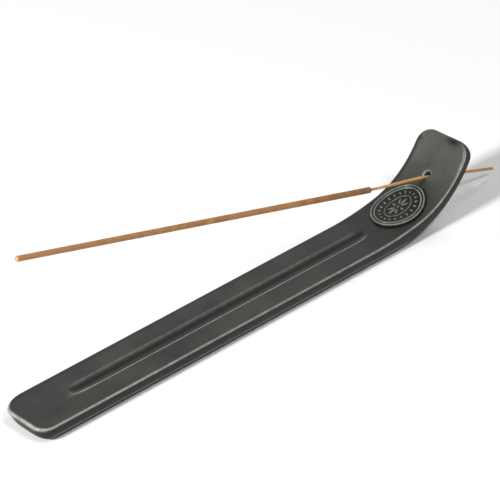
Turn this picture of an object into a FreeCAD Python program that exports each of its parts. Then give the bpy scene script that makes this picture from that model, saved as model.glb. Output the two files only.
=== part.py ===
import FreeCAD, Part
import math
import os

from FreeCAD import Placement, Rotation, Vector

# A stoneware burner for incense sticks: a long flat tray with an ash groove, one end curled up like a ski,
# an oval medallion where the bend starts, and a slanting hole in the curl that holds one stick.
# Lengths are in millimetres and angles in degrees. The origin is the middle of the foot on the table,
# +X runs along the tray to the curled end and +Z is up.

# Tray seen from above
FLAT_LENGTH = 184.0        # front end to the start of the bend, along the top
HEEL_DELAY = 6.0           # start of the bend to the heel, where the underside leaves the table
FRONT_WIDTH = 26.8         # width at the front end
LIP_WIDTH = 27.7           # width at the curled end
FRONT_CORNER = 6.5         # corner radius at the front end
LIP_CORNER = 6.5           # corner radius at the curled end

# Bend of the top surface: a long easing arc, then the tighter curl
EASE_RADIUS = 131.0
EASE_ANGLE = 11.7          # slope where the easing arc meets the curl
CURL_RADIUS = 39.2
LIP_ANGLE = 69.4           # slope at the end of the curl

# Tray seen from the side
BODY_HEIGHT = 7.0          # table to the flat top
LIP_THICKNESS = 5.0        # wall at the end of the curl
HEEL_ANGLE = 20.0          # slope where the heel's two arcs meet
TOE_LENGTH = 12.0          # the underside lifts over this length at the front
TOE_LIFT = 2.9             # height of the underside at the front end
RIM_RADIUS = 1.2           # rounding of the top edge
UNDER_RADIUS = 0.9         # rounding of the bottom edge
BEVEL_HEIGHT = 2.7         # tucked-under bevel along both sides, above the table
BEVEL_INSET = 1.4

# Ash groove: part of a round bar's print that runs out at both ends
GROOVE_WIDTH = 6.2
GROOVE_DEPTH = 1.45
GROOVE_SETBACK = 25.0      # front end of the tray to the groove's front tip
GROOVE_PAST_BEND = 7.0     # start of the bend to the groove's rear tip
GROOVE_RUNOUT = 15.0       # length over which the depth fades

# Stick hole
HOLE_PLAY = 1.8            # the hole is this much wider than the splint
HOLE_PLACE = 42.3          # slope of the top surface where the hole starts
HOLE_SLOPE = 33.6          # fall of the hole towards the back
HOLE_LIP = 0.6             # rounding of both mouths
STICK_CLEARANCE = 0.1      # between the stick and each mouth it leans on

# Medallion
MEDALLION_LENGTH = 27.0    # along the tray
MEDALLION_WIDTH = 21.0
MEDALLION_PLACE = 13.3     # slope of the top surface under its middle
MEDALLION_HEIGHT = 1.3     # to the top of the rims and the relief
FIELD_HEIGHT = 0.9         # to the sunk field
OUTER_RIM = 0.7            # width of the outer rim
RIM_GAP = 0.75             # channel between the rims
INNER_RIM = 0.6            # width of the inner rim
BAR_COUNT = 20             # short bars in the border between the inner rim and the ring
BAR_LENGTH = 1.9
BAR_WIDTH = 0.8
RING_WIDTH = 0.45          # ring round the rosette
RING_GAP = 0.7             # free field between the ring and the petals
ROSETTE_LENGTH = 12.8      # along the tray, petal tip to petal tip
ROSETTE_WIDTH = 6.8
PETAL_COUNT = 8
PETAL_WIDTH = 1.3
ROSETTE_EYE = 1.1          # diameter of the bead in the middle

# Incense stick: a bamboo splint that is straight through the hole, sags a little in front of it and
# rises again where the coat starts. The stretches add up to a common stick of 280
CORE_DIAMETER = 1.3
TAIL_LENGTH = 43.0         # middle of the hole to the tail's end
STRAIGHT_AHEAD = 3.0       # straight length in front of the middle of the hole
SAG_LENGTH = 6.0
SAG_ANGLE = 4.9
BARE_AHEAD = 21.0          # straight splint between the sag and the rise
RISE_LENGTH = 9.0
RISE_ANGLE = 2.2
COAT_LENGTH = 198.0
COAT_TIP_DIAMETER = 2.35
COAT_BASE_DIAMETER = 2.65
COAT_ROUND = 0.35          # rounding of the coat's ends

FRONT_X = -(FLAT_LENGTH + HEEL_DELAY) / 2
BEND_X = FRONT_X + FLAT_LENGTH
HEEL_X = BEND_X + HEEL_DELAY
HOLE_DIAMETER = CORE_DIAMETER + HOLE_PLAY
REACH = 3.0                # cutting shapes run this far past the surfaces they cut
NEAR = 1e-4                # points and surfaces this close count as the same


def polar(center, radius, slope):
    """Point of an arc that curves upwards, where its tangent has this slope."""
    turn = math.radians(slope)
    return Vector(center.x + radius * math.sin(turn), 0, center.z - radius * math.cos(turn))


def arc(center, radius, start, end):
    """Arc edge in the XZ plane between two slopes."""
    middle = polar(center, radius, (start + end) / 2)
    return Part.Arc(polar(center, radius, start), middle, polar(center, radius, end)).toShape()


def line(a, b):
    return Part.makeLine(a, b)


EASE_CENTER = Vector(BEND_X, 0, BODY_HEIGHT + EASE_RADIUS)
CURL_CENTER = polar(EASE_CENTER, EASE_RADIUS - CURL_RADIUS, EASE_ANGLE)
LIP_TOP = polar(CURL_CENTER, CURL_RADIUS, LIP_ANGLE)
LIP_BACK = polar(CURL_CENTER, CURL_RADIUS + LIP_THICKNESS, LIP_ANGLE)


def heel_radii():
    """Radii of the two tangent arcs that take the underside from the table to the back of the lip."""
    heel, lip = math.radians(HEEL_ANGLE), math.radians(LIP_ANGLE)
    run, rise = LIP_BACK.x - HEEL_X, LIP_BACK.z
    a, b = math.sin(heel), math.sin(lip) - math.sin(heel)
    c, d = 1 - math.cos(heel), math.cos(heel) - math.cos(lip)
    return (run * d - b * rise) / (a * d - b * c), (a * rise - run * c) / (a * d - b * c)


TOE_RADIUS = (TOE_LENGTH ** 2 + TOE_LIFT ** 2) / (2 * TOE_LIFT)
TOE_SLOPE = -math.degrees(math.asin(TOE_LENGTH / TOE_RADIUS))
TOE_CENTER = Vector(FRONT_X + TOE_LENGTH, 0, TOE_RADIUS)
HEEL_RADIUS, BACK_RADIUS = heel_radii()
HEEL_CENTER = Vector(HEEL_X, 0, HEEL_RADIUS)
BACK_CENTER = polar(HEEL_CENTER, HEEL_RADIUS - BACK_RADIUS, HEEL_ANGLE)


def top_edges(lift, start_x, end_slope):
    """Top surface in side view, lifted along its normal, from start_x to a slope on the curl."""
    flat_end = polar(EASE_CENTER, EASE_RADIUS - lift, 0)
    return [
        line(Vector(start_x, 0, BODY_HEIGHT + lift), flat_end),
        arc(EASE_CENTER, EASE_RADIUS - lift, 0, EASE_ANGLE),
        arc(CURL_CENTER, CURL_RADIUS - lift, EASE_ANGLE, end_slope),
    ]


def under_edges():
    """Underside in side view: the lifted toe, the foot, the heel and the back of the curl."""
    return [
        arc(TOE_CENTER, TOE_RADIUS, TOE_SLOPE, 0),
        line(polar(TOE_CENTER, TOE_RADIUS, 0), polar(HEEL_CENTER, HEEL_RADIUS, 0)),
        arc(HEEL_CENTER, HEEL_RADIUS, 0, HEEL_ANGLE),
        arc(BACK_CENTER, BACK_RADIUS, HEEL_ANGLE, LIP_ANGLE),
    ]


def closed(lower, upper):
    """Closed wire from two open chains that run the same way."""
    ends = [line(lower[-1].lastVertex(True).Point, upper[-1].lastVertex(True).Point),
            line(lower[0].firstVertex(True).Point, upper[0].firstVertex(True).Point)]
    return Part.Wire(Part.__sortEdges__(lower + upper + ends))


def across(wire, width):
    """Solid made by widening a side view by width to both sides."""
    face = Part.Face(wire)
    face.translate(Vector(0, -width, 0))
    return face.extrude(Vector(0, 2 * width, 0))


def boundary(faces):
    """Edges that belong to exactly one of the faces."""
    edges = [edge for face in faces for edge in face.Edges]
    return [edge for edge in edges if sum(edge.isSame(other) for other in edges) == 1]


def surface_faces(shape, level, radii):
    """Faces of the top or the underside: the plane at this height and the arcs of these radii."""
    found = []
    for face in shape.Faces:
        surface = face.Surface
        if isinstance(surface, Part.Plane):
            if abs(surface.Axis.z) > 1 - NEAR and abs(face.CenterOfMass.z - level) < NEAR:
                found.append(face)
        elif isinstance(surface, Part.Cylinder) and abs(surface.Axis.y) > 1 - NEAR:
            if any(abs(surface.Radius - radius) < NEAR for radius in radii):
                found.append(face)
    return found


def corner_edges(shape):
    """Upright edges at the front end, and the edges through the wall at the lip."""
    along = Vector(math.cos(math.radians(LIP_ANGLE)), 0, math.sin(math.radians(LIP_ANGLE)))
    front, lip = [], []
    for edge in shape.Edges:
        ends = [vertex.Point for vertex in edge.Vertexes]
        if abs(ends[0].y - ends[-1].y) > RIM_RADIUS:
            continue
        if all(abs(end.x - FRONT_X) < NEAR for end in ends):
            front.append(edge)
        if all(abs((end - LIP_TOP).dot(along)) < NEAR for end in ends):
            lip.append(edge)
    return front, lip


def side_turn():
    """Angle between the tapering side and the X axis."""
    return math.degrees(math.atan2((LIP_WIDTH - FRONT_WIDTH) / 2, LIP_TOP.x - FRONT_X))


def half_width(x):
    return FRONT_WIDTH / 2 + (x - FRONT_X) * math.tan(math.radians(side_turn()))


def tray_blank():
    """Bent bar with tapering sides and rounded corners and edges."""
    end_x = LIP_BACK.x + REACH
    side_view = closed(
        under_edges(),
        top_edges(0, FRONT_X, LIP_ANGLE),
    )
    corners = [(FRONT_X - REACH, 1), (end_x, 1), (end_x, -1), (FRONT_X - REACH, -1)]
    plan = [Vector(x, side * half_width(x), -REACH) for x, side in corners]
    height = LIP_TOP.z + 3 * REACH
    plan_prism = Part.Face(Part.makePolygon(plan + plan[:1])).extrude(Vector(0, 0, height))
    body = across(side_view, LIP_WIDTH).common(plan_prism)
    body = body.Solids[0]
    body = body.makeFillet(FRONT_CORNER, corner_edges(body)[0])
    body = body.makeFillet(LIP_CORNER, corner_edges(body)[1])
    rim = boundary(surface_faces(body, BODY_HEIGHT, (EASE_RADIUS, CURL_RADIUS)))
    body = body.makeFillet(RIM_RADIUS, rim)
    under = boundary(surface_faces(body, 0, (TOE_RADIUS, HEEL_RADIUS, BACK_RADIUS)))
    return body.makeFillet(UNDER_RADIUS, under)


def side_bevel():
    """Straight wedge that tucks one long side under and runs out where the underside leaves the table."""
    low, high = -REACH, BEVEL_HEIGHT + REACH
    side = FRONT_WIDTH / 2
    lean = BEVEL_INSET / BEVEL_HEIGHT
    outline = [
        (side + (low - BEVEL_HEIGHT) * lean, low),
        (side + (high - BEVEL_HEIGHT) * lean, high),
        (side + LIP_WIDTH, high),
        (side + LIP_WIDTH, low),
    ]
    corners = [Vector(FRONT_X - REACH, y, z) for y, z in outline]
    length = LIP_BACK.x - FRONT_X + 2 * REACH
    wedge = Part.Face(Part.makePolygon(corners + corners[:1])).extrude(Vector(length, 0, 0))
    wedge.rotate(Vector(FRONT_X, side, 0), Vector(0, 0, 1), side_turn())
    return wedge


def groove_bar():
    """Bar with pointed ends whose lower side is the ash groove."""
    radius = GROOVE_WIDTH ** 2 / (8 * GROOVE_DEPTH) + GROOVE_DEPTH / 2
    fade = (GROOVE_RUNOUT ** 2 + GROOVE_DEPTH ** 2) / (2 * GROOVE_DEPTH)
    axis_z = BODY_HEIGHT + radius - GROOVE_DEPTH
    tip = math.sqrt(fade ** 2 - (fade - radius) ** 2)
    full_front = FRONT_X + GROOVE_SETBACK + GROOVE_RUNOUT
    full_back = BEND_X + GROOVE_PAST_BEND - GROOVE_RUNOUT
    center_z = axis_z - radius + fade

    def fading(x_full, way):
        turn = math.asin(tip / fade) / 2
        middle = Vector(x_full + way * fade * math.sin(turn), 0, center_z - fade * math.cos(turn))
        return Part.Arc(Vector(x_full, 0, axis_z - radius), middle,
                        Vector(x_full + way * tip, 0, axis_z)).toShape()

    front, back = fading(full_front, -1), fading(full_back, 1)
    bottom = line(Vector(full_front, 0, axis_z - radius), Vector(full_back, 0, axis_z - radius))
    spine = line(Vector(full_front - tip, 0, axis_z), Vector(full_back + tip, 0, axis_z))
    outline = Part.Wire(Part.__sortEdges__([front, bottom, back, spine]))
    return Part.Face(outline).revolve(Vector(0, 0, axis_z), Vector(1, 0, 0), 360)


HOLE_MOUTH = polar(CURL_CENTER, CURL_RADIUS, HOLE_PLACE)
HOLE_WAY = Vector(math.cos(math.radians(HOLE_SLOPE)), 0, -math.sin(math.radians(HOLE_SLOPE)))
HOLE_REACH = BODY_HEIGHT + 2 * REACH


def make_tray():
    """The finished tray, and the stretch of the hole's axis that lies inside its wall."""
    body = tray_blank()
    bevel = side_bevel()
    body = body.cut(bevel)
    body = body.cut(bevel.mirror(Vector(0, 0, 0), Vector(0, 1, 0)))
    body = body.cut(groove_bar()).Solids[0]
    start, end = HOLE_MOUTH - HOLE_WAY * REACH, HOLE_MOUTH + HOLE_WAY * HOLE_REACH
    in_wall = body.common(line(start, end)).Edges[0]
    drill = Part.makeCylinder(HOLE_DIAMETER / 2, REACH + HOLE_REACH, start, HOLE_WAY)
    body = body.cut(drill).Solids[0]
    mouths = [edge for face in body.Faces if isinstance(face.Surface, Part.Cylinder)
              and abs(face.Surface.Radius - HOLE_DIAMETER / 2) < NEAR
              for edge in face.Edges if not edge.isSeam(face)]
    return body.makeFillet(HOLE_LIP, mouths).Solids[0], in_wall


def oval_face(length, width):
    """Flat oval at the origin, length along X."""
    center = Vector(0, 0, 0)
    if abs(length - width) < NEAR:
        curve = Part.Circle(center, Vector(0, 0, 1), width / 2)
    elif length > width:
        curve = Part.Ellipse(center, length / 2, width / 2)
    else:
        curve = Part.Ellipse(Vector(0, width / 2, 0), Vector(-length / 2, 0, 0), center)
    return Part.Face(Part.Wire(curve.toShape()))


def oval_ring(length, width, ring_width):
    """Flat ring inside an oval edge."""
    return oval_face(length, width).cut(oval_face(length - 2 * ring_width, width - 2 * ring_width))


def border_bars(length, width):
    """Short bars that stand across an oval, evenly round it."""
    bars = []
    for index in range(BAR_COUNT):
        turn = 2 * math.pi * (index + 0.5) / BAR_COUNT
        place = Vector(length / 2 * math.cos(turn), width / 2 * math.sin(turn), 0)
        outward = math.degrees(math.atan2(length * math.sin(turn), width * math.cos(turn)))
        bar = Part.makePlane(BAR_LENGTH, BAR_WIDTH, Vector(-BAR_LENGTH / 2, -BAR_WIDTH / 2, 0))
        bar.Placement = Placement(place, Rotation(Vector(0, 0, 1), outward)).multiply(bar.Placement)
        bars.append(bar)
    return bars


def rosette():
    """Petals round a bead."""
    shapes = [oval_face(ROSETTE_EYE, ROSETTE_EYE)]
    for index in range(PETAL_COUNT):
        turn = 2 * math.pi * index / PETAL_COUNT
        tip = Vector(ROSETTE_LENGTH / 2 * math.cos(turn), ROSETTE_WIDTH / 2 * math.sin(turn), 0)
        root = tip * (ROSETTE_EYE / tip.Length)
        petal = oval_face(tip.Length - ROSETTE_EYE, PETAL_WIDTH)
        way = math.degrees(math.atan2(tip.y, tip.x))
        petal.Placement = Placement((tip + root) * 0.5, Rotation(Vector(0, 0, 1), way))
        shapes.append(petal)
    return shapes


def make_medallion():
    """Oval sprig bent to the tray's top, with two rims, a barred border and a rosette."""
    inner_rim = 2 * (OUTER_RIM + RIM_GAP)
    border = inner_rim + 2 * INNER_RIM
    ring = 2 * (RING_GAP + RING_WIDTH)
    field = oval_face(MEDALLION_LENGTH - 2 * OUTER_RIM, MEDALLION_WIDTH - 2 * OUTER_RIM)
    raised = [
        oval_ring(MEDALLION_LENGTH - inner_rim, MEDALLION_WIDTH - inner_rim, INNER_RIM),
        oval_ring(ROSETTE_LENGTH + ring, ROSETTE_WIDTH + ring, RING_WIDTH),
    ]
    raised += border_bars((MEDALLION_LENGTH - border + ROSETTE_LENGTH + ring) / 2,
                          (MEDALLION_WIDTH - border + ROSETTE_WIDTH + ring) / 2)
    raised += rosette()
    sunk = field.cut(raised)
    seat = Placement(polar(CURL_CENTER, CURL_RADIUS, MEDALLION_PLACE),
                     Rotation(Vector(0, 1, 0), -MEDALLION_PLACE))

    def upright(face):
        depth = MEDALLION_LENGTH / 2
        prism = face.translated(Vector(0, 0, -depth)).extrude(Vector(0, 0, 2 * depth))
        prism.Placement = seat.multiply(prism.Placement)
        return prism

    def layer(low, high):
        start = BEND_X - MEDALLION_LENGTH
        wire = closed(top_edges(low, start, LIP_ANGLE), top_edges(high, start, LIP_ANGLE))
        return across(wire, MEDALLION_WIDTH)

    blank = layer(0, MEDALLION_HEIGHT).common(upright(oval_face(MEDALLION_LENGTH, MEDALLION_WIDTH)))
    pocket = layer(FIELD_HEIGHT, MEDALLION_HEIGHT + REACH).common(upright(sunk))
    return blank.cut(pocket).Solids[0]


def make_stick(in_wall):
    """Bamboo splint through the hole and the paste coat on its front part."""
    wall = in_wall.Length
    gauge = CORE_DIAMETER + 2 * STICK_CLEARANCE
    lean = math.acos(gauge / math.hypot(HOLE_DIAMETER, wall)) - math.atan2(wall, HOLE_DIAMETER)
    slope = math.radians(HOLE_SLOPE) - lean
    low_slope = slope - math.radians(SAG_ANGLE)
    front_slope = low_slope + math.radians(RISE_ANGLE)
    pivot = in_wall.CenterOfMass

    def ahead(angle):
        return Vector(-math.cos(angle), 0, math.sin(angle))

    def bend(start, angle, end_angle, length):
        """Arc from one slope to another, and the point where it ends."""
        radius = length / (end_angle - angle)
        center = start + Vector(math.sin(angle), 0, math.cos(angle)) * radius

        def point(turn):
            return center - Vector(math.sin(turn), 0, math.cos(turn)) * radius

        end = point(end_angle)
        return Part.Arc(start, point((angle + end_angle) / 2), end).toShape(), end

    tail = pivot - ahead(slope) * TAIL_LENGTH
    sag_start = pivot + ahead(slope) * STRAIGHT_AHEAD
    sag, sag_end = bend(sag_start, slope, low_slope, SAG_LENGTH)
    rise_start = sag_end + ahead(low_slope) * BARE_AHEAD
    rise, rise_end = bend(rise_start, low_slope, front_slope, RISE_LENGTH)
    tip = rise_end + ahead(front_slope) * COAT_LENGTH
    path = Part.Wire([line(tail, sag_start), sag, line(sag_end, rise_start), rise, line(rise_end, tip)])
    section = Part.Wire(Part.Circle(tail, ahead(slope), CORE_DIAMETER / 2).toShape())
    core = path.makePipeShell([section], True, True)
    return core, make_coat(tip, ahead(front_slope) * -1)


def make_coat(tip, way):
    """Sleeve of paste from the tip backwards, with rounded ends."""
    bore, tip_r, base_r = CORE_DIAMETER / 2, COAT_TIP_DIAMETER / 2, COAT_BASE_DIAMETER / 2
    r, end = COAT_ROUND, COAT_LENGTH
    knee = r * (1 - math.sqrt(0.5))
    edges = [
        line(Vector(bore, 0, 0), Vector(tip_r - r, 0, 0)),
        Part.Arc(Vector(tip_r - r, 0, 0), Vector(tip_r - knee, 0, knee), Vector(tip_r, 0, r)).toShape(),
        line(Vector(tip_r, 0, r), Vector(base_r, 0, end - r)),
        Part.Arc(Vector(base_r, 0, end - r), Vector(base_r - knee, 0, end - knee),
                 Vector(base_r - r, 0, end)).toShape(),
        line(Vector(base_r - r, 0, end), Vector(bore, 0, end)),
        line(Vector(bore, 0, end), Vector(bore, 0, 0)),
    ]
    sleeve = Part.Face(Part.Wire(edges)).revolve(Vector(0, 0, 0), Vector(0, 0, 1), 360)
    sleeve.Placement = Placement(tip, Rotation(Vector(0, 0, 1), way))
    return sleeve


def main():
    os.makedirs("parts", exist_ok=True)
    tray, in_wall = make_tray()
    core, coat = make_stick(in_wall)
    nodes = {"tray": tray, "medallion": make_medallion(), "bamboo_core": core, "incense_coat": coat}
    for name, shape in nodes.items():
        box = shape.BoundBox
        print(name, shape.ShapeType, len(shape.Solids), shape.isValid(), round(shape.Volume, 1),
              [round(v, 2) for v in (box.XMin, box.XMax, box.YMin, box.YMax, box.ZMin, box.ZMax)])
        shape.exportStep("parts/" + name + ".step")


main()
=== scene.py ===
"""Incense burner: a glazed stoneware tray with a curled end, its oval medallion and its stick.

Everything is in metres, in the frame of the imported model: the origin is the middle of the foot on the
table, +X runs along the tray to the curled end and +Z is up. The tray's near half faces the camera.
"""
import logging
import math
from dataclasses import dataclass
from enum import Enum
from typing import Any, Sequence

import bmesh
import bpy
import numpy as np
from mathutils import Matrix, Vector, noise


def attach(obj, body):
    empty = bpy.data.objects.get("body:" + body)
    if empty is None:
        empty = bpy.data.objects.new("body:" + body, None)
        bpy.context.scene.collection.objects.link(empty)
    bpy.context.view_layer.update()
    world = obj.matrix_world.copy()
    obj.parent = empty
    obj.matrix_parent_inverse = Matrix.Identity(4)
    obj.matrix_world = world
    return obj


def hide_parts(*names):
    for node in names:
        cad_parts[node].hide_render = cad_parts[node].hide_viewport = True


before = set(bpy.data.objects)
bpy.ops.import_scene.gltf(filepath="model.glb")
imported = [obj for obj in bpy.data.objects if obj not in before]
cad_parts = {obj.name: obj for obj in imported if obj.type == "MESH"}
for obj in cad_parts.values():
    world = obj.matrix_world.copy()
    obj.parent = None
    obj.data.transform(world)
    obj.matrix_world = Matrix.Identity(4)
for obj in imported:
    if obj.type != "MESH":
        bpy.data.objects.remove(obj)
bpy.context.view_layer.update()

MM = 0.001
DEG = math.pi / 180
TINY = 1e-9
MERGE_GAP = 2e-6
LEAST_EDGE = 1e-7
EXPONENT_LIMIT = 40.0
LOG = logging.getLogger("incense_burner")
Colour = tuple[float, float, float]
Span = tuple[float, float]
Socket = bpy.types.NodeSocket


class Mark(Enum):
    """Names of the marks that a mesh carries for its finish, its painted highlights and its painted shade.
    """

    EDGE_AND_HIGHLIGHT = "edge_break"
    POOL_AND_SHADE = "pooled_glaze"
    BARE = "bare_clay"
    DARK_PATCH = "smudge"
    THIN = "thin_glaze"
    ALONG = "along"
    AROUND = "around"


GLAZE_MARKS = (Mark.EDGE_AND_HIGHLIGHT, Mark.POOL_AND_SHADE, Mark.BARE, Mark.DARK_PATCH, Mark.THIN)


class Body(Enum):
    """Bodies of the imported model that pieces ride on."""

    BURNER = "burner"
    STICK = "stick"


def soft_step(value: np.ndarray, low: float, high: float) -> np.ndarray:
    """Smooth rise from 0 at low to 1 at high.

    Args:
        value: Numbers to map.
        low: Value that gives 0.
        high: Value that gives 1.

    Returns:
        Numbers between 0 and 1.
    """
    part = np.clip((value - low) / (high - low), 0.0, 1.0)
    return part * part * (3.0 - 2.0 * part)


def bezier(points: Sequence[np.ndarray], count: int) -> np.ndarray:
    """Points of Bezier curves that run side by side.

    Args:
        points: Control points, each an array of shape (curves, 3).
        count: Number of points along each curve.

    Returns:
        Array of shape (curves, count, 3).
    """
    part = np.linspace(0.0, 1.0, count)[None, :, None]
    level = [np.asarray(point)[:, None, :] for point in points]
    while len(level) > 1:
        level = [a * (1.0 - part) + b * part for a, b in zip(level, level[1:])]
    return level[0]


def waviness(points: np.ndarray, length: float, seed: float) -> np.ndarray:
    """Smooth unevenness between about -1 and 1.

    Args:
        points: Places, shape (count, 3).
        length: Length of one wave.
        seed: Shift that tells one unevenness from another.

    Returns:
        One number for each place.
    """
    shift = Vector((seed, 2.0 * seed, -seed))
    return np.array([noise.noise(Vector(point) / length + shift) for point in points])


def rod_waviness(along: np.ndarray, turn: np.ndarray, ring: float, length: float) -> np.ndarray:
    """Smooth unevenness of a rod's skin.

    Args:
        along: Distances along the rod.
        turn: Angles around it.
        ring: Radius of the ring that the unevenness is read on; a larger one gives finer waves.
        length: Length of one wave along the rod.

    Returns:
        A row for each distance, with a number for each angle.
    """
    circle = [(ring * math.cos(angle), ring * math.sin(angle)) for angle in turn]
    return np.array([[noise.noise(Vector((x, y, distance / length))) for x, y in circle]
                     for distance in along])


def grid_faces(rows: int, columns: int, start: int = 0, flip: bool = False) -> list[tuple[int, ...]]:
    """Quads of a grid of vertices that is stored row by row.

    Args:
        rows: Number of rows.
        columns: Number of vertices in a row.
        start: Index of the first vertex.
        flip: True to turn the faces over.

    Returns:
        Vertex indices of each quad.
    """
    faces = []
    for row in range(rows - 1):
        for column in range(columns - 1):
            a = start + row * columns + column
            quad = (a, a + 1, a + columns + 1, a + columns)
            faces.append(quad[::-1] if flip else quad)
    return faces


def make_piece(name: str, points: np.ndarray, faces: Sequence[Sequence[int]],
               marks: dict[Mark, np.ndarray]) -> bpy.types.Object:
    """Closed, smooth mesh object from points that may lie on each other.

    Args:
        name: Name of the piece.
        points: Vertices, shape (count, 3).
        faces: Vertex indices of each face.
        marks: A number for each vertex, by mark.

    Returns:
        The new object.
    """
    mesh = bpy.data.meshes.new(name)
    mesh.from_pydata(points.tolist(), [], [list(face) for face in faces])
    for mark, values in marks.items():
        layer = mesh.attributes.new(mark.value, "FLOAT", "POINT")
        layer.data.foreach_set("value", np.asarray(values, dtype=np.float32))
    work = bmesh.new()
    work.from_mesh(mesh)
    bmesh.ops.remove_doubles(work, verts=work.verts, dist=MERGE_GAP)
    bmesh.ops.dissolve_degenerate(work, edges=work.edges, dist=LEAST_EDGE)
    bmesh.ops.recalc_face_normals(work, faces=work.faces)
    work.to_mesh(mesh)
    work.free()
    mesh.shade_smooth()
    piece = bpy.data.objects.new(name, mesh)
    bpy.context.scene.collection.objects.link(piece)
    return piece


@dataclass(frozen=True)
class BentLine:
    """Line in side view made of straight runs and arcs that join smoothly."""

    start: Span
    slope: float
    runs: tuple[Span, ...]

    @property
    def length(self) -> float:
        """Length of all runs together."""
        return sum(run for run, _ in self.runs)

    def at(self, along: np.ndarray) -> tuple[np.ndarray, np.ndarray, np.ndarray]:
        """Places on the line.

        Args:
            along: Distances from the start; the first and last run go on past the ends.

        Returns:
            X, Z and slope at each distance.
        """
        along = np.asarray(along, dtype=float)
        x = np.full_like(along, self.start[0])
        z = np.full_like(along, self.start[1])
        slope = np.full_like(along, self.slope)
        begin = 0.0
        angle = self.slope
        for index, (run, turn) in enumerate(self.runs):
            low = -np.inf if index == 0 else 0.0
            high = np.inf if index == len(self.runs) - 1 else run
            local = np.clip(along - begin, low, high)
            bend = turn / run
            if turn == 0.0:
                x += local * math.cos(angle)
                z += local * math.sin(angle)
            else:
                x += (np.sin(angle + bend * local) - math.sin(angle)) / bend
                z -= (np.cos(angle + bend * local) - math.cos(angle)) / bend
            slope += bend * local
            begin += run
            angle += turn
        return x, z, slope

    def lifted(self, along: np.ndarray, side: np.ndarray, lift: np.ndarray | float) -> np.ndarray:
        """Points beside and above the line.

        Args:
            along: Distances along the line.
            side: Y of each point.
            lift: Height above the line, along its normal.

        Returns:
            Array with a last axis of 3.
        """
        x, z, slope = self.at(along)
        return np.stack([x - lift * np.sin(slope), side + 0.0 * x, z + lift * np.cos(slope)], axis=-1)


@dataclass(frozen=True)
class Grain:
    """Noise of a finish: grains per unit, octaves of finer grain and their weight."""

    scale: float
    detail: float = 3.0
    weight: float = 0.5


class Nodes:
    """Node tree that is filled in step by step."""

    def __init__(self, tree: bpy.types.NodeTree) -> None:
        """Take the tree that is filled."""
        self.tree = tree

    def node(self, kind: str, inputs: dict[Any, Any], **settings: Any) -> bpy.types.Node:
        """Add a node.

        Args:
            kind: Node type.
            inputs: Value or socket for each input, by name or number.
            settings: Properties of the node itself.

        Returns:
            The new node.
        """
        made = self.tree.nodes.new(kind)
        for key, value in settings.items():
            setattr(made, key, value)
        for key, value in inputs.items():
            self.feed(made.inputs[key], value)
        return made

    def feed(self, socket: Socket, value: Any) -> None:
        """Link a socket or set its value.

        Args:
            socket: Input that is fed.
            value: Output to link, or the value; a colour of three gets full cover.
        """
        if isinstance(value, Socket):
            self.tree.links.new(value, socket)
        elif isinstance(value, tuple) and len(value) == 3 and socket.type == "RGBA":
            socket.default_value = (*value, 1.0)
        else:
            socket.default_value = value

    def maths(self, operation: str, a: Any, b: Any) -> Socket:
        """Sum, product or other operation on two numbers, held between 0 and 1."""
        return self.node("ShaderNodeMath", {0: a, 1: b}, operation=operation, use_clamp=True).outputs[0]

    def span(self, value: Socket, over: Span, to: Span = (0.0, 1.0)) -> Socket:
        """Map one span of numbers onto another, held at its ends.

        Args:
            value: Socket that is mapped.
            over: Values at the span's ends.
            to: Results there.

        Returns:
            Socket of the result.
        """
        made = self.node("ShaderNodeMapRange", {"Value": value, "From Min": over[0], "From Max": over[1],
                                                "To Min": to[0], "To Max": to[1]})
        return made.outputs["Result"]


class Recipe(Nodes):
    """Node tree of one material around its Principled surface."""

    def __init__(self, name: str) -> None:
        """Start a material with a plain Principled surface.

        Args:
            name: Name of the material.
        """
        self.material = bpy.data.materials.new(name)
        self.material.use_nodes = True
        super().__init__(self.material.node_tree)
        self.surface = self.tree.nodes["Principled BSDF"]

    def mark(self, mark: Mark) -> Socket:
        """Number that the mesh carries."""
        return self.node("ShaderNodeAttribute", {}, attribute_name=mark.value).outputs["Fac"]

    def rod_place(self) -> Socket:
        """Place on a rod's skin: around it and along it."""
        place = {"X": self.mark(Mark.AROUND), "Y": self.mark(Mark.ALONG)}
        return self.node("ShaderNodeCombineXYZ", place).outputs["Vector"]

    def grain(self, grain: Grain, place: Socket | None = None) -> Socket:
        """Noise between 0 and 1.

        Args:
            grain: Scale and detail of the noise.
            place: Where the noise is read; without it, the place on the piece in metres.

        Returns:
            Socket of the noise.
        """
        if place is None:
            place = self.node("ShaderNodeTexCoord", {}).outputs["Object"]
        made = self.node("ShaderNodeTexNoise", {"Vector": place, "Scale": grain.scale,
                                                "Detail": grain.detail, "Roughness": grain.weight})
        return made.outputs["Fac"]

    def blend(self, a: Any, b: Any, part: Any) -> Socket:
        """Colour between a and b.

        Args:
            a: Colour or socket where part is 0.
            b: Colour or socket where part is 1.
            part: Number or socket.

        Returns:
            Socket of the colour.
        """
        return self.node("ShaderNodeMix", {0: part, 6: a, 7: b}, data_type="RGBA").outputs[2]

    def relief(self, height: Socket, depth: float, below: Socket | None = None) -> Socket:
        """Fine relief on the surface's normal.

        Args:
            height: Socket of the relief, 0 to 1.
            depth: Height of the relief in metres.
            below: Normal of another relief that this one lies on.

        Returns:
            Socket of the normal.
        """
        inputs = {"Height": height, "Distance": depth, "Strength": 1.0}
        if below is not None:
            inputs["Normal"] = below
        return self.node("ShaderNodeBump", inputs).outputs["Normal"]

    def finish(self, **inputs: Any) -> bpy.types.Material:
        """Set the surface's sockets.

        Args:
            inputs: Value or socket for each input, with its blanks as underscores.

        Returns:
            The finished material.
        """
        for key, value in inputs.items():
            self.feed(self.surface.inputs[key.replace("_", " ")], value)
        return self.material


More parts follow.
